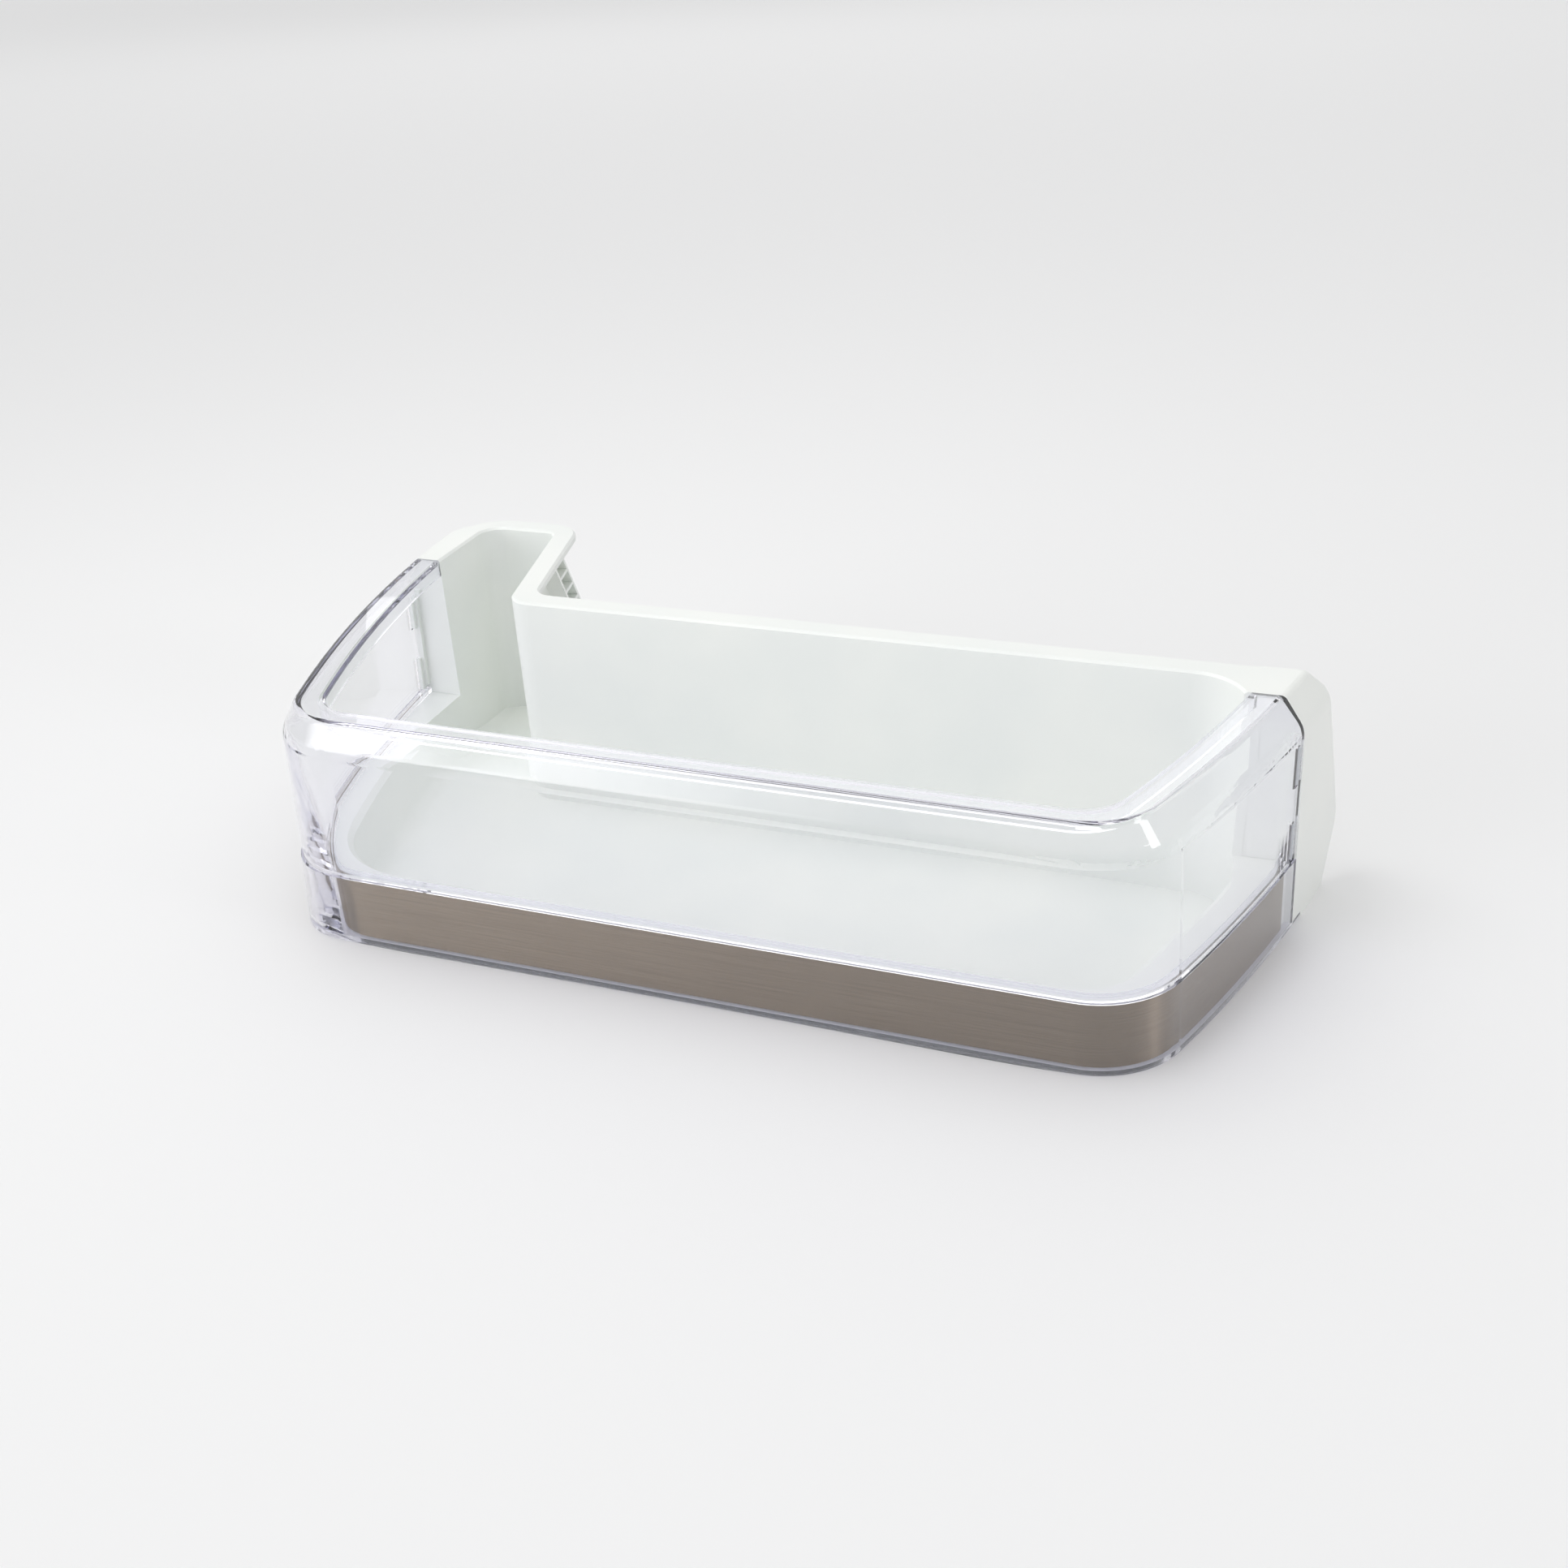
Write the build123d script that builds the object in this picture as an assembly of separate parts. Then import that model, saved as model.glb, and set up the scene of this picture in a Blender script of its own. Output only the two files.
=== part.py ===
from build123d import *
import math
import os

# Driving sizes in millimetres. Y runs from the front face to the door, Z runs up.
HEIGHT = 100.0
HALF_WIDTH = 217.0
DEPTH = 222.0
RIGHT_RADIUS = 800.0
LEFT_RADIUS = 660.0
RIGHT_PARALLEL = 100.0
LEFT_PARALLEL = 11.0
CORNER_RADIUS = 37.0
LEFT_CORNER = 24.0
LOOSE_CORNER = 48.0
BACK_WALL_Y = 127.0
GUARD_RIGHT_Y = 114.0
GUARD_LEFT_Y = 164.0
POCKET_WIDTH = 80.0
JOG_LEAN = 13.0
FLANGE_WIDTH = 11.0
FLANGE_THICK = 3.2
FLANGE_BEVEL = 1.0
BACK_CORNER = 22.0
JOG_CORNER = 12.0
FLANGE_NOOK = 9.0
POCKET_NOSE = 6.0
POCKET_CORNER = 10.0

# Skins, clearances and small steps.
CLEAR_WALL = 2.6
WHITE_WALL = 2.6
STRIP_THICK = 0.8
STRIP_GAP = 1.4
FIT_GAP = 0.2
LEDGE_STEP = 0.8
LOW_CORNER = 12.0
LEAST_ROUND = 2.0
OVERCUT = 1.0

# Section of the clear guard: how far each level lies inside the base line.
LEDGE_Z = 0.315 * HEIGHT
SHOULDER_Z = 0.875 * HEIGHT
SIDE_LEAN = 4.0
FRONT_LEAN = -1.0
SLOPE_SIDE = 8.0
SLOPE_FRONT = 4.5
RIM_SIDE = 12.0
RIM_FRONT = 9.5
RIM_LIP = 7.5
SHOULDER_ROUND = 12.0
RIDGE_ROUND = 3.0
FOOT_BEVEL = 1.2
LIP_BEVEL = 0.8
GUARD_SOLE = 2.2
SOLE_WIDTH = 9.0
SOLE_TAIL = 9.0

# Trim strip, floor dish and platform.
STRIP_TOP_GAP = 0.6
PLATFORM_DROP = 1.6
DISH_FRONT = 13.0
DISH_SIDE = 19.0
DISH_SLOPE = 6.0
DISH_FILLET = 9.0
DISH_BEVEL = 6.5
DISH_RIM_BEVEL = 2.0
DISH_CORNER = 24.0
DISH_LEFT_CORNER = 42.0

# Hanging rail: two slanted long ribs joined by short cross ribs.
RAIL_SLANT = 54.0
RAIL_PITCH = 11.3
RAIL_RIB = 1.6
RAIL_LENGTH = 46.0
RAIL_START = 46.0
RAIL_ROOT = 0.5
CROSS_PITCH = 9.2
CROSS_COUNT = 3

# Right wing: a hook plate reaching behind the back wall.
HOOK_REACH = 27.2
HOOK_SHOULDER = 5.5
HOOK_CROWN = 0.08 * HEIGHT
HOOK_TOP_DROP = 0.14 * HEIGHT
HOOK_BELLY_Z = 0.25 * HEIGHT
HOOK_TOE = 11.0
HOOK_ROUND = 9.0

# Clips near each end of the guard.
CLIP_WIDTH = 3.2
CLIP_INSET = 2.6
CLIP_TALL = 0.17 * HEIGHT
CLIP_LOW_Z = 0.325 * HEIGHT
CLIP_HIGH_Z = 0.65 * HEIGHT
TONGUE_DEPTH = 2.2
TONGUE_MARGIN = 3.2
BOSS_SINK = 1.0
BOSS_WIDTH = 1.4
STRIP_SHORT = 6.0

# Places that follow from the sizes above.
PLAN_REAR_Y = DEPTH
RIDGE_SIDE = SIDE_LEAN + SLOPE_SIDE
RIDGE_FRONT = FRONT_LEAN + SLOPE_FRONT
RIM_IN_SIDE = RIDGE_SIDE + RIM_SIDE
RIM_IN_FRONT = RIDGE_FRONT + RIM_FRONT
STRIP_INSET = CLEAR_WALL + STRIP_GAP
SKIRT_INSET = STRIP_INSET + STRIP_THICK + FIT_GAP
SKIRT_Z = GUARD_SOLE + FIT_GAP
PLATFORM_Z = LEDGE_Z - PLATFORM_DROP
POCKET_Y = DEPTH - FLANGE_WIDTH
FAR = DEPTH + HALF_WIDTH
FLANGE_REAR_Y = BACK_WALL_Y + FLANGE_WIDTH
JOG_X = HALF_WIDTH - POCKET_WIDTH
STRIP_FOOT_Z = SKIRT_Z + FIT_GAP
STRIP_TOP_Z = PLATFORM_Z + FIT_GAP - STRIP_TOP_GAP


def side_arc(hand):
    """Centre and radius of the bowed side: hand is 1 for the right, -1 for the left."""
    radius = RIGHT_RADIUS if hand > 0 else LEFT_RADIUS
    parallel = RIGHT_PARALLEL if hand > 0 else LEFT_PARALLEL
    cy = DEPTH + parallel
    run = cy - GUARD_LEFT_Y
    return HALF_WIDTH - math.sqrt(radius * radius - run * run), cy, radius


def side_x(y, inset, hand):
    """Distance of the side face from the middle plane."""
    cx, cy, radius = side_arc(hand)
    reach = radius - inset
    return cx + math.sqrt(reach * reach - (cy - y) * (cy - y))


def half_plan(front, side, corner, hand):
    """Corner arc and side arc of one half of the plan, from the front to the rear."""
    sx, sy, full = side_arc(hand)
    radius = full - side
    cy = front + corner
    reach = radius - corner
    drop = sy - cy
    cx = sx + math.sqrt(reach * reach - drop * drop)
    tx = sx + (cx - sx) * radius / reach
    ty = sy - drop * radius / reach
    middle = 0.5 * (math.atan2(ty - cy, tx - cx) - math.pi / 2)
    by = 0.5 * (ty + PLAN_REAR_Y)
    start = (hand * cx, front)
    bend = (hand * (cx + corner * math.cos(middle)), cy + corner * math.sin(middle))
    join = (hand * tx, ty)
    belly = (hand * side_x(by, side, hand), by)
    end = (hand * side_x(PLAN_REAR_Y, side, hand), PLAN_REAR_Y)
    return start, bend, join, belly, end


def plan(front, side, right_corner, left_corner, z):
    """Closed plan outline: straight front, round corners, bowed flaring sides."""
    right = half_plan(front, side, right_corner, 1)
    left = half_plan(front, side, left_corner, -1)
    edges = [Line(left[0], right[0])]
    edges.append(ThreePointArc(*right[0:3]))
    edges.append(ThreePointArc(*right[2:5]))
    edges.append(Line(right[4], left[4]))
    edges.append(ThreePointArc(left[4], left[3], left[2]))
    edges.append(ThreePointArc(left[2], left[1], left[0]))
    return Pos(0, 0, z) * make_face(Wire(edges))


def loose_corner(inset, z):
    """Left front corner: tight on the outer face, rounder on the faces within, even at the shoulder."""
    share = z / SHOULDER_Z
    outer = LEFT_CORNER + (CORNER_RADIUS - LEFT_CORNER) * share
    within = min(max(inset, 0) / STRIP_INSET, 1) * (1 - share)
    return max(outer + (LOOSE_CORNER - LEFT_CORNER) * within - inset, LOW_CORNER)


def base_plan(inset, z):
    """Plan of the lower band, moved inward, at a height below the ledge."""
    corner = max(CORNER_RADIUS - inset, LOW_CORNER)
    lean = SIDE_LEAN * z / SHOULDER_Z
    return plan(inset, inset + lean, corner, loose_corner(inset, z), z)


def upper_plan(inset, z):
    """Plan of the wall between ledge and shoulder, moved inward."""
    share = (z - LEDGE_Z) / (SHOULDER_Z - LEDGE_Z)
    front = LEDGE_STEP + (FRONT_LEAN - LEDGE_STEP) * share
    lean = SIDE_LEAN * z / SHOULDER_Z
    step = LEDGE_STEP * (1 - share)
    corner = max(CORNER_RADIUS - inset, LOW_CORNER)
    return plan(front + inset, lean + step + inset, corner, loose_corner(inset, z), z)


def ridge_plan(inset, z):
    corner = max(0.75 * CORNER_RADIUS - inset, LOW_CORNER)
    return plan(RIDGE_FRONT + inset, RIDGE_SIDE + inset, corner, corner, z)


def rim_plan(inset, z):
    corner = max(0.5 * CORNER_RADIUS - inset, LOW_CORNER)
    return plan(RIM_IN_FRONT + inset, RIM_IN_SIDE + inset, corner, corner, z)


def stack(low, high):
    return loft([low, high], ruled=True)


def rounded(form):
    """Soft ridge and shoulder on an outer form."""
    form = fillet(round_edges(form, HEIGHT), RIDGE_ROUND)
    return fillet(round_edges(form, SHOULDER_Z), SHOULDER_ROUND)


def envelope():
    """Outer form of the clear guard, with a ledge line round it."""
    band = stack(base_plan(0, 0), base_plan(0, LEDGE_Z))
    wall = stack(upper_plan(0, LEDGE_Z), upper_plan(0, SHOULDER_Z))
    slope = stack(upper_plan(0, SHOULDER_Z), ridge_plan(0, HEIGHT))
    form = rounded(band + wall + slope)
    return chamfer(round_edges(form, 0), FOOT_BEVEL)


def wing_form():
    """Outer form of the white wings: the guard's, carried on without the ledge line."""
    wall = stack(base_plan(0, 0), upper_plan(0, SHOULDER_Z))
    return rounded(wall + stack(upper_plan(0, SHOULDER_Z), ridge_plan(0, HEIGHT)))


def round_edges(form, z):
    """Edges of a form lying at one height, apart from its rear line."""
    level = [e for e in form.edges() if abs(e.center().Z - z) < 0.01]
    return [e for e in level if e.center().Y < PLAN_REAR_Y - OVERCUT]


def inner_form(skin):
    """Hollow inside the envelope, one skin in from its faces."""
    top = HEIGHT - skin
    band = stack(base_plan(skin, GUARD_SOLE), base_plan(skin, LEDGE_Z))
    wall = stack(upper_plan(skin, LEDGE_Z), upper_plan(skin, SHOULDER_Z))
    slope = stack(upper_plan(skin, SHOULDER_Z), ridge_plan(skin, top))
    form = band + wall + slope
    return fillet(round_edges(form, SHOULDER_Z), SHOULDER_ROUND - skin)


def block(x0, x1, y0, y1, z0, z1):
    return Pos(x0, y0, z0) * Box(x1 - x0, y1 - y0, z1 - z0, align=(Align.MIN, Align.MIN, Align.MIN))


def behind_ends(shift, low=-OVERCUT):
    """Space behind the two guard ends, right end nearer the front than the left one."""
    right = block(0, FAR, GUARD_RIGHT_Y + shift, FAR, low, HEIGHT + OVERCUT)
    left = block(-FAR, 0, GUARD_LEFT_Y + shift, FAR, low, HEIGHT + OVERCUT)
    return right + left


def rim_lip():
    low = HEIGHT - RIM_LIP
    outer = stack(rim_plan(-CLEAR_WALL, low), rim_plan(-CLEAR_WALL, HEIGHT))
    return outer - stack(rim_plan(0, low), rim_plan(0, HEIGHT))


def ledge_rib():
    """Thin shelf inside the guard over the strip and the platform edge."""
    low = PLATFORM_Z + FIT_GAP
    high = LEDGE_Z + LEDGE_STEP
    outer = extrude(base_plan(0.5 * CLEAR_WALL, low), high - low)
    return outer - extrude(base_plan(SKIRT_INSET + 2 * LEDGE_STEP, low), high - low)


def clip_boxes(side, end_y):
    """Two upright slots, one over the other, close to one guard end."""
    x0 = min(0, side) * FAR
    x1 = max(0, side) * FAR
    rear = end_y - CLIP_INSET
    lower = block(x0, x1, rear - CLIP_WIDTH, rear, CLIP_LOW_Z, CLIP_LOW_Z + CLIP_TALL)
    return lower + Pos(0, 0, CLIP_HIGH_Z - CLIP_LOW_Z) * lower


def clear_guard():
    hollow = inner_form(CLEAR_WALL) - rim_lip()
    mouth = stack(rim_plan(0, HEIGHT - RIM_LIP - OVERCUT), rim_plan(0, HEIGHT + OVERCUT))
    sole_hole = extrude(base_plan(SOLE_WIDTH, -OVERCUT), GUARD_SOLE + OVERCUT)
    shell = envelope() - hollow - mouth - sole_hole
    lip = [e for e in round_edges(shell, HEIGHT) if e.geom_type != GeomType.BSPLINE]
    shell = chamfer(lip, LIP_BEVEL) + ledge_rib()
    slots = clip_boxes(1, GUARD_RIGHT_Y) + clip_boxes(-1, GUARD_LEFT_Y)
    slots = slots - extrude(base_plan(4 * CLEAR_WALL, 0), HEIGHT)
    return shell - behind_ends(0, GUARD_SOLE) - behind_ends(SOLE_TAIL) - slots


def trim_strip():
    low = STRIP_FOOT_Z
    high = STRIP_TOP_Z
    outer = stack(base_plan(STRIP_INSET, low), base_plan(STRIP_INSET, high))
    inset = STRIP_INSET + STRIP_THICK
    ring = outer - stack(base_plan(inset, low), base_plan(inset, high))
    return ring - behind_ends(-STRIP_SHORT)


def jog_x(y, grow):
    lean = math.radians(JOG_LEAN)
    return -JOG_X - (y - BACK_WALL_Y) * math.tan(lean) + grow / math.cos(lean)


def right_inner_x():
    return side_x(GUARD_RIGHT_Y, RIM_IN_SIDE, 1)


def left_inner_x():
    return -side_x(GUARD_LEFT_Y, RIM_IN_SIDE, -1)


def rear_outline(grow, z, back_corner):
    """Plan of the hollow behind the guard with its left pocket, grown outward."""
    back = BACK_WALL_Y + grow
    rear = POCKET_Y + grow
    right = right_inner_x() + grow
    left = left_inner_x() - grow
    front = 0.5 * BACK_WALL_Y
    points = [(right, front), (right, back), (jog_x(back, grow), back)]
    points += [(jog_x(rear, grow), rear), (left, rear), (left, front)]
    sheet = make_face(Polyline(*points, close=True))
    nook = max(JOG_CORNER - grow, FLANGE_NOOK)
    radii = [back_corner, nook, POCKET_NOSE + grow, POCKET_CORNER + grow]
    for place, radius in zip(points[1:5], radii):
        near = sheet.vertices().sort_by_distance(Vector(place[0], place[1], 0))[0]
        sheet = fillet(near, radius)
    return Pos(0, 0, z) * sheet


def rear_prism(grow, z0, z1, back_corner=BACK_CORNER):
    return extrude(rear_outline(grow, z0, back_corner), z1 - z0, dir=(0, 0, 1))


def open_front():
    """Space in front of the white walls, where the guard closes the hollow."""
    high = HEIGHT + OVERCUT
    wide = block(-FAR, FAR, -FAR, GUARD_RIGHT_Y, -OVERCUT, high)
    left = block(-FAR, left_inner_x() + OVERCUT, -FAR, GUARD_LEFT_Y, -OVERCUT, high)
    return wide + left


def rear_walls():
    """White walls behind the guard with a flat flange round their top, its edges softened."""
    low = HEIGHT - FLANGE_THICK
    ring = rear_prism(WHITE_WALL, 0, HEIGHT) + rear_prism(FLANGE_WIDTH, low, HEIGHT, LEAST_ROUND)
    ring = ring - rear_prism(0, -OVERCUT, HEIGHT + OVERCUT)
    ring = chamfer([e for e in ring.edges() if e.center().Z > HEIGHT - FIT_GAP], FLANGE_BEVEL)
    return ring - open_front()


def base_reach():
    """Space that the floor leaves free: behind the guard ends and outside the rear walls."""
    behind = block(left_inner_x(), FAR, BACK_WALL_Y, FAR, -OVERCUT, HEIGHT + OVERCUT)
    return behind + behind_ends(0) - rear_prism(WHITE_WALL, -2 * OVERCUT, HEIGHT + 2 * OVERCUT)


def dish_top(grow, z):
    return plan(DISH_FRONT - grow, DISH_SIDE - grow, DISH_CORNER + grow, DISH_LEFT_CORNER + grow, z)


def dish(grow, low, high):
    """Floor hollow with steep sides and a sharp lower edge, grown outward by a skin."""
    front = DISH_FRONT - grow
    side = DISH_SIDE - grow
    corner = LOW_CORNER + grow
    bottom = plan(front + DISH_SLOPE, side + DISH_SLOPE, corner, corner, low)
    return stack(bottom, dish_top(grow, high))


def dish_hollow():
    hollow = dish(0, WHITE_WALL, PLATFORM_Z)
    hollow = fillet(round_edges(hollow, WHITE_WALL), DISH_FILLET)
    ahead = block(-FAR, FAR, -OVERCUT, 0.6 * BACK_WALL_Y, 0, HEIGHT)
    return hollow & (rear_prism(0, 0, HEIGHT) + ahead)


def tray_floor():
    """Platform round the edge, its skirt, and the dished floor hung inside it by a soft rim."""
    inset = SKIRT_INSET + WHITE_WALL
    outer = stack(base_plan(SKIRT_INSET, SKIRT_Z), base_plan(SKIRT_INSET, PLATFORM_Z))
    cover = outer - stack(base_plan(inset, SKIRT_Z), base_plan(inset, PLATFORM_Z - WHITE_WALL))
    tub = dish(WHITE_WALL, 0, PLATFORM_Z)
    tub = chamfer(round_edges(tub, 0), DISH_BEVEL)
    tray = cover + tub - base_reach() - dish_hollow()
    line = dish_top(0, PLATFORM_Z).wire()
    return chamfer([e for e in tray.edges() if line.distance_to(e @ 0.5) < 0.01], DISH_RIM_BEVEL)


def right_wing():
    """Outer skin carried on behind the guard, open below, ending in a hook behind the back wall."""
    x0 = right_inner_x() + 0.5 * WHITE_WALL
    start = GUARD_RIGHT_Y + FIT_GAP
    zone = block(x0, FAR, start, FAR, 0, HEIGHT)
    inside = block(x0 - OVERCUT, FAR, start + WHITE_WALL, FAR, -OVERCUT, HEIGHT)
    hollow = inner_form(WHITE_WALL) + extrude(base_plan(WHITE_WALL, -OVERCUT), LEDGE_Z)
    return (wing_form() & zone) - (hollow & inside) - hook_cut()


def hook_cut():
    """Everything behind the rear edge of the right wing, seen from the side."""
    root = FLANGE_REAR_Y
    neck = root + HOOK_SHOULDER
    toe = root + HOOK_TOE
    high = HEIGHT + OVERCUT
    points = [(root, high), (root, HEIGHT - OVERCUT), (neck, HEIGHT - HOOK_CROWN)]
    points += [(neck, HEIGHT - HOOK_TOP_DROP), (root + HOOK_REACH, HOOK_BELLY_Z)]
    points += [(toe, 0), (toe, -OVERCUT), (FAR, -OVERCUT), (FAR, high)]
    sheet = make_face(Polyline(*points, close=True))
    for place in points[3:5]:
        near = sheet.vertices().sort_by_distance(Vector(place[0], place[1], 0))[0]
        sheet = fillet(near, HOOK_ROUND)
    return extrude(Plane.YZ * sheet, FAR, dir=(1, 0, 0))


def wing_wedge(skin):
    """Tapering plan of the left wing, from the guard end to the pocket corner."""
    front = GUARD_LEFT_Y + max(FIT_GAP, skin)
    rear = POCKET_Y - WHITE_WALL - skin
    root = left_inner_x() - max(skin, 0.5 * WHITE_WALL)
    tip = left_inner_x() - FLANGE_WIDTH + skin
    wide = -HALF_WIDTH - OVERCUT + skin
    sheet = make_face(Polyline((root, front), (wide, front), (tip, rear), (root, rear), close=True))
    return extrude(sheet, HEIGHT, dir=(0, 0, 1))


def left_wing():
    """Outer skin behind the left guard end, turning in to the pocket, open below."""
    hollow = wing_wedge(WHITE_WALL) & inner_form(WHITE_WALL)
    below = wing_wedge(WHITE_WALL) & block(-FAR, 0, 0, FAR, 0, LEDGE_Z)
    return (wing_wedge(0) & wing_form()) - hollow - below


def tongue_zone(side, end_y):
    x0 = min(0, side) * FAR
    x1 = max(0, side) * FAR
    low = LEDGE_Z + TONGUE_MARGIN
    high = SHOULDER_Z - TONGUE_MARGIN
    return block(x0, x1, end_y - TONGUE_DEPTH, end_y + WHITE_WALL, low, high)


def tongues():
    """Narrow flanges inside the guard ends, with a snap boss standing in each slot."""
    face = CLEAR_WALL + FIT_GAP
    zones = tongue_zone(1, GUARD_RIGHT_Y) + tongue_zone(-1, GUARD_LEFT_Y)
    sheet = (inner_form(face) - inner_form(face + WHITE_WALL)) & zones
    return sheet + snaps(1, GUARD_RIGHT_Y) + snaps(-1, GUARD_LEFT_Y)


def snaps(side, end_y):
    """Fingers that run forward from the tongue and turn out into the slots."""
    face = CLEAR_WALL + FIT_GAP
    x0 = min(0, side) * FAR
    x1 = max(0, side) * FAR
    tip = end_y - CLIP_INSET - FIT_GAP - BOSS_WIDTH
    heel = end_y - CLIP_INSET - FIT_GAP
    low = CLIP_LOW_Z + FIT_GAP
    tall = CLIP_TALL - 2 * FIT_GAP
    reach = block(x0, x1, tip, end_y, low, low + tall)
    catch = block(x0, x1, tip, heel, low, low + tall)
    lift = Pos(0, 0, CLIP_HIGH_Z - CLIP_LOW_Z)
    finger = (inner_form(face) - inner_form(face + BOSS_SINK)) & (reach + lift * reach)
    boss = (inner_form(BOSS_SINK) - inner_form(face + BOSS_SINK)) & (catch + lift * catch)
    return finger + boss


def jog_face():
    """Plane on the outer face of the pocket: its X runs to the rear, its Y runs up."""
    lean = math.radians(JOG_LEAN)
    origin = (jog_x(BACK_WALL_Y, WHITE_WALL - RAIL_ROOT), BACK_WALL_Y, 0)
    along = (-math.sin(lean), math.cos(lean), 0)
    return Plane(origin, x_dir=along, z_dir=(math.cos(lean), math.sin(lean), 0))


def jog_rail():
    """Ladder of slanted ribs on the outer face of the pocket, under the flange."""
    slant = math.radians(RAIL_SLANT)
    top = HEIGHT - 0.5 * FLANGE_THICK
    run = RAIL_LENGTH * math.cos(slant)
    fall = RAIL_LENGTH * math.sin(slant)
    apart = RAIL_PITCH / math.sin(slant)
    start = RAIL_START - 0.5 * FLANGE_THICK / math.tan(slant)
    long_rib = Rot(0, 0, -RAIL_SLANT) * Rectangle(RAIL_LENGTH, RAIL_RIB)
    ladder = Pos(start + 0.5 * run, top - 0.5 * fall) * long_rib
    ladder = ladder + Pos(start + apart + 0.5 * run, top - 0.5 * fall) * long_rib
    for index in range(1, CROSS_COUNT + 1):
        drop = index * CROSS_PITCH
        across = start + drop / math.tan(slant) + 0.5 * apart
        ladder = ladder + Pos(across, top - drop) * Rectangle(apart, RAIL_RIB)
    return extrude(jog_face() * ladder, FLANGE_WIDTH - WHITE_WALL)


def sole_space():
    """Room under the wings for the tail of the guard's sole."""
    tall = SKIRT_Z + OVERCUT
    ring = extrude(base_plan(-OVERCUT, -OVERCUT), tall)
    ring = ring - extrude(base_plan(SOLE_WIDTH + FIT_GAP, -OVERCUT), tall)
    return ring - behind_ends(SOLE_TAIL + FIT_GAP)


def shelf_body():
    wings = right_wing() + left_wing() - sole_space()
    return rear_walls() + tray_floor() + wings + tongues() + jog_rail()


def main():
    os.makedirs("parts", exist_ok=True)
    pieces = {"shelf_body": shelf_body(), "clear_guard": clear_guard(), "trim_strip": trim_strip()}
    box = Compound(list(pieces.values())).bounding_box()
    centre = box.center()
    for name, shape in pieces.items():
        placed = Pos(-centre.X, -centre.Y, -box.min.Z) * shape
        export_step(placed, "parts/" + name + ".step")
        size = placed.bounding_box().size
        print(name, round(size.X, 1), round(size.Y, 1), round(size.Z, 1), len(placed.solids()))


main()
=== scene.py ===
# %% [markdown]
# A fridge door shelf
#
# The shelf is three mouldings snapped together: an opaque white tray, a clear guard that wraps round its front and
# both ends, and a thin brushed strip trapped behind the lower band of the guard. The shapes come from the packed
# construction model, already in metres and in place, so this lesson is mostly about finishes, light and the camera.

# %% Load the shelf
import bpy
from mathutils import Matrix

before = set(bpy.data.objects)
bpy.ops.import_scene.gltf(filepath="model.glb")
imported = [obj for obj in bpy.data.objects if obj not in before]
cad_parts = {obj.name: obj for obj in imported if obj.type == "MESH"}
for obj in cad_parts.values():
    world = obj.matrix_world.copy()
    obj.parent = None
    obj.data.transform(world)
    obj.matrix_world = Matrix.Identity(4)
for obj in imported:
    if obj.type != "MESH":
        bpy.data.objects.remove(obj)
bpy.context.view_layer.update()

import bpy
import math
from mathutils import Matrix, Vector

MM = 0.001
print("pieces:", sorted(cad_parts))

# %% [markdown]
# Colours are written the way a paint program shows them, as hex values. A renderer adds up light, so it needs linear
# values, and one small function does the conversion everywhere.

# %% Colours from hex
def linear(hex_colour):
    channels = [int(hex_colour[i:i + 2], 16) / 255 for i in (1, 3, 5)]
    curve = [c / 12.92 if c <= 0.04045 else ((c + 0.055) / 1.055) ** 2.4 for c in channels]
    return (*curve, 1.0)


print("shelf white as linear light:", [round(c, 3) for c in linear("#F1F3EF")])

# %% [markdown]
# Every finish below is a small network of shader nodes. The first helper adds one node, sets its own options and the
# values of its sockets, and makes the links that feed it, so each finish reads from top to bottom like a recipe. A
# socket is called by its name, or by its number where a node has two of the same name. The second helper starts an
# empty material.

# %% Helpers for shader nodes
def add(tree, kind, options=None, values=None, links=None):
    node = tree.nodes.new(kind)
    for name, value in (options or {}).items():
        setattr(node, name, value)
    for socket, value in (values or {}).items():
        node.inputs[socket].default_value = value
    for socket, source in (links or {}).items():
        tree.links.new(source, node.inputs[socket])
    return node


def finish_named(name):
    material = bpy.data.materials.new(name)
    material.use_nodes = True
    material.node_tree.nodes.clear()
    return material, material.node_tree


print("helpers made:", add.__name__, finish_named.__name__)

# %% [markdown]
# White high-impact polystyrene, injection moulded. The real one is a cool white with a satin skin: the mould was
# lightly textured, so highlights are soft. Two things vary on it. The colour drifts very slightly over some
# centimetres where the plastic flowed, and the skin has a fine grain about half a millimetre across.

# %% White moulded styrene
FLOW_PATCH = 60 * MM
GRAIN = 0.6 * MM
GRAIN_DEPTH = 0.05 * MM

white, tree = finish_named("moulded_white_styrene")
place = add(tree, "ShaderNodeTexCoord")
flow = add(tree, "ShaderNodeTexNoise", values={"Scale": 1 / FLOW_PATCH, "Detail": 2.0, "Roughness": 0.5},
           links={"Vector": place.outputs["Object"]})
tint = add(tree, "ShaderNodeValToRGB", links={"Fac": flow.outputs["Fac"]})
tint.color_ramp.elements[0].position = 0.35
tint.color_ramp.elements[0].color = linear("#ECEFEC")
tint.color_ramp.elements[1].position = 0.65
tint.color_ramp.elements[1].color = linear("#F1F3EF")
grain = add(tree, "ShaderNodeTexNoise", values={"Scale": 1 / GRAIN, "Detail": 2.0},
            links={"Vector": place.outputs["Object"]})
satin = add(tree, "ShaderNodeMapRange", values={"To Min": 0.26, "To Max": 0.38},
            links={"Value": grain.outputs["Fac"]})
skin = add(tree, "ShaderNodeBump", values={"Strength": 0.12, "Distance": GRAIN_DEPTH},
           links={"Height": grain.outputs["Fac"]})
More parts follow.
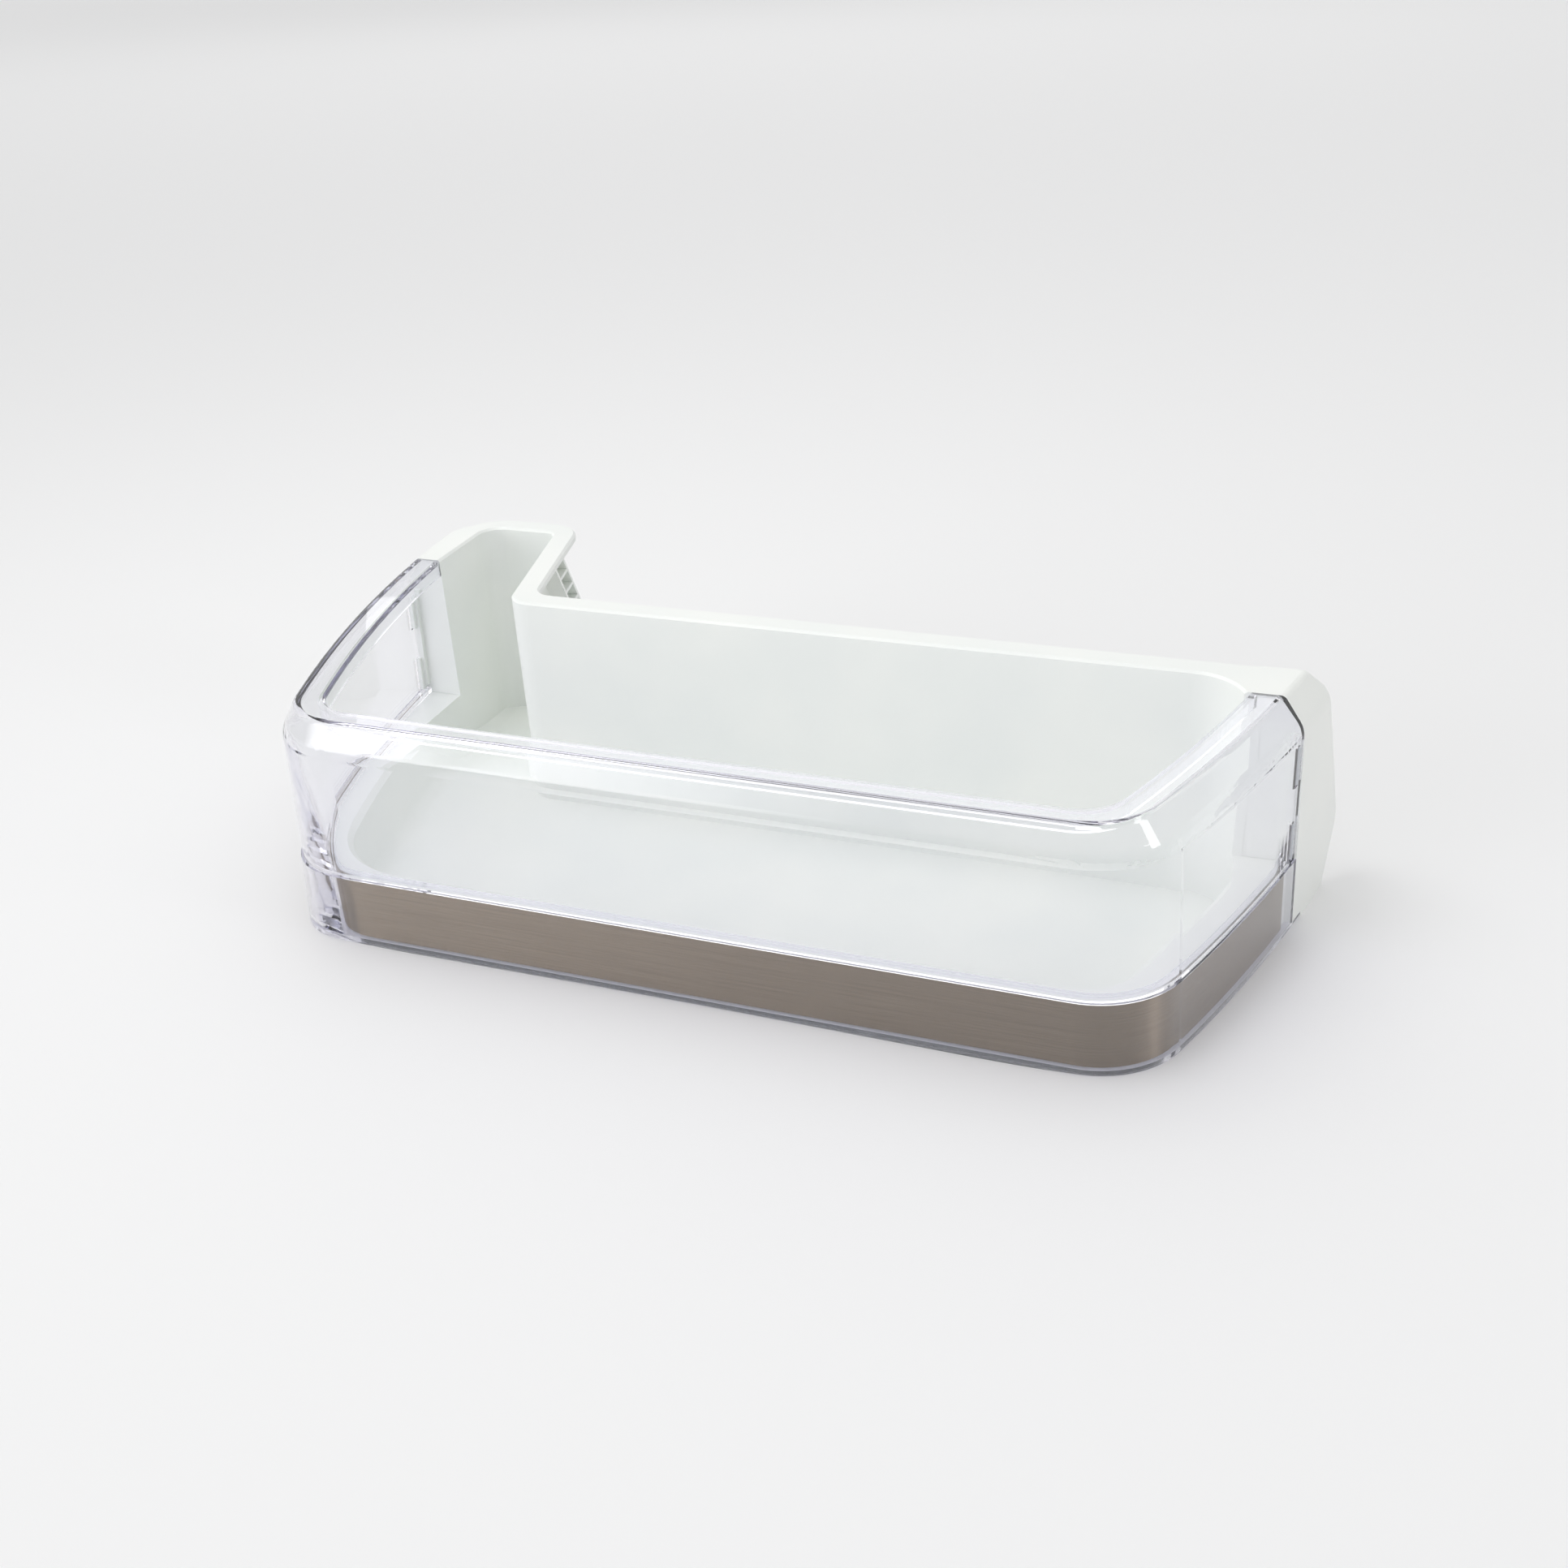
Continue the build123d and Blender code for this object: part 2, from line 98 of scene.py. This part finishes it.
body = add(tree, "ShaderNodeBsdfPrincipled", values={"IOR": 1.59, "Metallic": 0.0},
           links={"Base Color": tint.outputs["Color"], "Roughness": satin.outputs["Result"],
                  "Normal": skin.outputs["Normal"]})
add(tree, "ShaderNodeOutputMaterial", links={"Surface": body.outputs["BSDF"]})
print("made", white.name)

# %% [markdown]
# Clear styrene acrylonitrile, moulded in a polished mould. Seen square on it is almost invisible, but along an edge
# the eye looks through centimetres of it and sees its faint violet cast, so the tint belongs inside the plastic, as
# absorption, and not on its skin. The moulding is not optically flat: it rolls a few hundredths of a millimetre over
# some centimetres, which bends the reflections, and wiping leaves faint smears. A renderer finds few of the bent paths
# from a lamp through clear plastic and would leave a dark shadow behind it, so light on its way to the tray and the
# table passes straight through.

# %% Clear polished styrene
ROLL_LENGTH = 35 * MM
ROLL_DEPTH = 0.1 * MM
SMEAR_PATCH = 18 * MM
TINT_PER_METRE = 9.0

clear, tree = finish_named("polished_clear_styrene")
place = add(tree, "ShaderNodeTexCoord")
roll = add(tree, "ShaderNodeTexNoise", values={"Scale": 1 / ROLL_LENGTH, "Detail": 1.0},
           links={"Vector": place.outputs["Object"]})
ripple = add(tree, "ShaderNodeBump", values={"Strength": 0.2, "Distance": ROLL_DEPTH},
             links={"Height": roll.outputs["Fac"]})
smear = add(tree, "ShaderNodeTexNoise", values={"Scale": 1 / SMEAR_PATCH, "Detail": 4.0},
            links={"Vector": place.outputs["Object"]})
polish = add(tree, "ShaderNodeMapRange",
             values={"From Min": 0.4, "From Max": 0.8, "To Min": 0.0, "To Max": 0.04},
             links={"Value": smear.outputs["Fac"]})
glassy = add(tree, "ShaderNodeBsdfPrincipled",
             values={"Base Color": linear("#FCFCFE"), "IOR": 1.57, "Transmission Weight": 1.0},
             links={"Roughness": polish.outputs["Result"], "Normal": ripple.outputs["Normal"]})
through = add(tree, "ShaderNodeBsdfTransparent", values={"Color": linear("#F6F6F9")})
path = add(tree, "ShaderNodeLightPath")
lighting = add(tree, "ShaderNodeMath", {"operation": "MAXIMUM"},
               links={0: path.outputs["Is Shadow Ray"], 1: path.outputs["Is Diffuse Ray"]})
either = add(tree, "ShaderNodeMixShader",
             links={"Fac": lighting.outputs["Value"], 1: glassy.outputs["BSDF"], 2: through.outputs["BSDF"]})
cast = add(tree, "ShaderNodeVolumeAbsorption", values={"Color": linear("#C4C3E4"), "Density": TINT_PER_METRE})
add(tree, "ShaderNodeOutputMaterial",
    links={"Surface": either.outputs["Shader"], "Volume": cast.outputs["Volume"]})
print("made", clear.name)

# %% [markdown]
# The strip looks like brushed stainless steel under a warm tinted lacquer. The brushing runs along its length and
# leaves parallel scratches, so the pattern hardly changes along the strip and changes every few tenths of a millimetre
# across it. Real scratches are about 0.05 mm apart, too fine to show, so they are drawn ten times as coarse. Brushed
# metal spreads light across its scratches and hardly along them, so a lamp shows as an upright streak where the strip
# turns the corner. Anisotropy gives that: its direction runs round the upright axis, and a quarter turn sets it across
# the scratches.

# %% Brushed strip
SCRATCH = 0.5 * MM
SCRATCH_DEPTH = 0.02 * MM
SCRATCH_STRETCH = 0.01
QUARTER_TURN = 0.25

brushed, tree = finish_named("brushed_tinted_steel")
place = add(tree, "ShaderNodeTexCoord")
along = add(tree, "ShaderNodeMapping", values={"Scale": (SCRATCH_STRETCH, SCRATCH_STRETCH, 1.0)},
            links={"Vector": place.outputs["Object"]})
scratch = add(tree, "ShaderNodeTexNoise", values={"Scale": 1 / SCRATCH, "Detail": 3.0, "Roughness": 0.6},
              links={"Vector": along.outputs["Vector"]})
lacquer = add(tree, "ShaderNodeValToRGB", links={"Fac": scratch.outputs["Fac"]})
lacquer.color_ramp.elements[0].position = 0.3
lacquer.color_ramp.elements[0].color = linear("#807364")
lacquer.color_ramp.elements[1].position = 0.7
lacquer.color_ramp.elements[1].color = linear("#948674")
dull = add(tree, "ShaderNodeMapRange", values={"To Min": 0.38, "To Max": 0.52},
           links={"Value": scratch.outputs["Fac"]})
groove = add(tree, "ShaderNodeBump", values={"Strength": 0.2, "Distance": SCRATCH_DEPTH},
             links={"Height": scratch.outputs["Fac"]})
brushing = add(tree, "ShaderNodeTangent", {"direction_type": "RADIAL", "axis": "Z"})
metal = add(tree, "ShaderNodeBsdfPrincipled",
            values={"Metallic": 1.0, "Anisotropic": 0.95, "Anisotropic Rotation": QUARTER_TURN},
            links={"Base Color": lacquer.outputs["Color"], "Roughness": dull.outputs["Result"],
                   "Normal": groove.outputs["Normal"], "Tangent": brushing.outputs["Tangent"]})
add(tree, "ShaderNodeOutputMaterial", links={"Surface": metal.outputs["BSDF"]})
print("made", brushed.name)

# %% [markdown]
# Each piece of the construction model already has the right shape, with its bevels and rounded corners, so it is shown
# as it is. Only its plain material is taken off and the finish put on.

# %% Dress the three pieces
finishes = {"shelf_body": white, "clear_guard": clear, "trim_strip": brushed}
for name, material in finishes.items():
    piece = bpy.data.objects[name]
    piece.data.materials.clear()
    piece.data.materials.append(material)
    print(name, "is now", material.name)

# %% [markdown]
# The shelf stands on a white studio table. One very large plane gives both the table and the background, because the
# camera looks down on it and never meets its far edge.

# %% Studio floor
FLOOR_WIDTH = 60.0

bpy.ops.object.select_all(action="DESELECT")
bpy.ops.mesh.primitive_plane_add(size=FLOOR_WIDTH, location=(0, 0, 0))
floor = bpy.context.active_object
floor.name = "studio_floor"
table, tree = finish_named("white_table")
paper = add(tree, "ShaderNodeBsdfPrincipled",
            values={"Base Color": linear("#F3F3F3"), "Roughness": 0.6, "Specular IOR Level": 0.2})
add(tree, "ShaderNodeOutputMaterial", links={"Surface": paper.outputs["BSDF"]})
floor.data.materials.append(table)
print("floor is", floor.dimensions.x, "m wide")

# %% [markdown]
# The room is a soft white tent, brightest overhead towards the front left and greyer to the back right, which shades
# the right wing. It could be a picture of a real room, but a gradient is easier to steer: the dot product of a ray with
# one direction tells how far the ray points that way. A second dot product makes a soft round glow low at the front
# left, which gives the broad highlight along the sloping front of the guard. A lamp there would show hard edges.

# %% Studio room
WINDOW_SIDE = Vector((-0.45, -0.35, 0.8)).normalized()
GLOW_SIDE = Vector((-0.66, -0.74, 0.1)).normalized()
GLOW_EDGE = math.cos(math.radians(27))
GLOW_CORE = math.cos(math.radians(12))

world = bpy.data.worlds.new("studio_room")
bpy.context.scene.world = world
world.use_nodes = True
tree = world.node_tree
tree.nodes.clear()
way = add(tree, "ShaderNodeTexCoord")
window = add(tree, "ShaderNodeVectorMath", {"operation": "DOT_PRODUCT"}, values={1: WINDOW_SIDE},
             links={0: way.outputs["Generated"]})
rise = add(tree, "ShaderNodeMapRange", values={"From Min": -0.7, "From Max": 0.6},
           links={"Value": window.outputs["Value"]})
tent = add(tree, "ShaderNodeValToRGB", links={"Fac": rise.outputs["Result"]})
tent.color_ramp.elements[0].color = linear("#88888E")
tent.color_ramp.elements[1].color = linear("#FFFFFF")
room = add(tree, "ShaderNodeBackground", values={"Strength": 0.8}, links={"Color": tent.outputs["Color"]})
side = add(tree, "ShaderNodeVectorMath", {"operation": "DOT_PRODUCT"}, values={1: GLOW_SIDE},
           links={0: way.outputs["Generated"]})
glow = add(tree, "ShaderNodeMapRange", {"interpolation_type": "SMOOTHSTEP"},
           values={"From Min": GLOW_EDGE, "From Max": GLOW_CORE, "To Max": 2.6},
           links={"Value": side.outputs["Value"]})
panel = add(tree, "ShaderNodeBackground", values={"Color": linear("#FFFFFF")},
            links={"Strength": glow.outputs["Result"]})
print("tent and glow made in", world.name)

# %% [markdown]
# Not every ray sees the same room. A ray straight from the camera that misses the floor sees plain background white.
# Rays mirrored by the metal or bent by the plastic see that white too, with the glow, so that the background shows in
# them. All other rays carry light to the shelf and the table, and they come from the tent and the glow.

# %% What each ray sees of the room
back = add(tree, "ShaderNodeBackground", values={"Color": linear("#EEEEEE"), "Strength": 1.0})
path = add(tree, "ShaderNodeLightPath")
mirrored = add(tree, "ShaderNodeMath", {"operation": "MAXIMUM"},
               links={0: path.outputs["Is Glossy Ray"], 1: path.outputs["Is Transmission Ray"]})
around = add(tree, "ShaderNodeMixShader",
             links={"Fac": mirrored.outputs["Value"], 1: room.outputs["Background"], 2: back.outputs["Background"]})
lit = add(tree, "ShaderNodeAddShader", links={0: around.outputs["Shader"], 1: panel.outputs["Background"]})
seen = add(tree, "ShaderNodeMixShader",
           links={"Fac": path.outputs["Is Camera Ray"], 1: lit.outputs["Shader"], 2: back.outputs["Background"]})
add(tree, "ShaderNodeOutputWorld", links={"Surface": seen.outputs["Shader"]})
print("room is lit")

# %% [markdown]
# Three softboxes and a very soft sun finish the light. The key hangs a metre above the shelf and fills the tray, the
# back box lifts the far end of the table, and the corner box stands to the right, where the strip's round corner
# mirrors it as the upright streak.

# %% Softboxes
def softbox(name, place, aim, size, power):
    lamp = bpy.data.lights.new(name, "AREA")
    lamp.shape = "RECTANGLE"
    lamp.size, lamp.size_y = size
    lamp.energy = power
    holder = bpy.data.objects.new(name, lamp)
    bpy.context.collection.objects.link(holder)
    turn = (aim - place).to_track_quat("-Z", "Y").to_matrix().to_4x4()
    holder.matrix_world = Matrix.Translation(place) @ turn


shelf_middle = Vector((0, 0, 0.05))
table_end = Vector((-0.7, 1.7, 0))
softbox("key_box", Vector((-0.35, -0.1, 1.05)), shelf_middle, (0.6, 0.6), 2.3)
softbox("back_box", Vector((-1.5, 4.5, 3.0)), table_end, (4.0, 2.0), 16.0)
softbox("corner_strip", Vector((2.0, -0.2, 0.75)), shelf_middle, (0.4, 0.7), 4.0)
sun = bpy.data.lights.new("room_light", "SUN")
sun.energy = 0.1
sun.angle = math.radians(80)
sky = bpy.data.objects.new("room_light", sun)
bpy.context.collection.objects.link(sky)
sky.rotation_euler = (math.radians(20), math.radians(-25), 0)

# %% [markdown]
# A ray that enters the rim of the guard is mirrored inside the plastic many times before it comes out. With the usual
# limit it is given up on the way and draws a black line, so the limits are raised. The deep white pocket also needs
# light that has bounced more than a few times.

# %% Light bounces
cycles = bpy.context.scene.cycles
cycles.max_bounces = 48
cycles.transmission_bounces = 48
cycles.glossy_bounces = 24
cycles.diffuse_bounces = 16
cycles.transparent_max_bounces = 32
print("bounces inside the plastic:", cycles.transmission_bounces)

# %% [markdown]
# The camera stands in front and to the right of the shelf, a little over half a metre away, and looks down at it. The
# picture is square, and its lens was measured in pixels, so it is turned into millimetres on a 36 mm wide sensor. The
# camera was held with a slight tilt to one side.

# %% Camera
PICTURE_WIDTH = 1932
LENS_IN_PIXELS = 1988.07
DEGREES_LEFT = 21.445
DEGREES_DOWN = 28.988
DEGREES_TILT = -3.1
EYE_PLACE = (0.21454, -0.55557, 0.36695)

lens = bpy.data.cameras.new("shelf_camera")
lens.sensor_width = 36.0
lens.lens = lens.sensor_width * LENS_IN_PIXELS / PICTURE_WIDTH
eye = bpy.data.objects.new("shelf_camera", lens)
bpy.context.collection.objects.link(eye)
left = Matrix.Rotation(math.radians(DEGREES_LEFT), 4, "Z")
down = Matrix.Rotation(math.radians(90 - DEGREES_DOWN), 4, "X")
tilt = Matrix.Rotation(math.radians(DEGREES_TILT), 4, "Z")
eye.matrix_world = Matrix.Translation(EYE_PLACE) @ (left @ down) @ tilt
bpy.context.scene.camera = eye
bpy.context.scene.view_settings.view_transform = "Standard"
print("lens in mm:", round(lens.lens, 2))

# %% [markdown]
# The dressed shelf stays as large as the construction model, since nothing here scales it. The last line prints how
# many pieces were dressed.

# %% Count of dressed pieces
print("pieces dressed:", len(finishes))
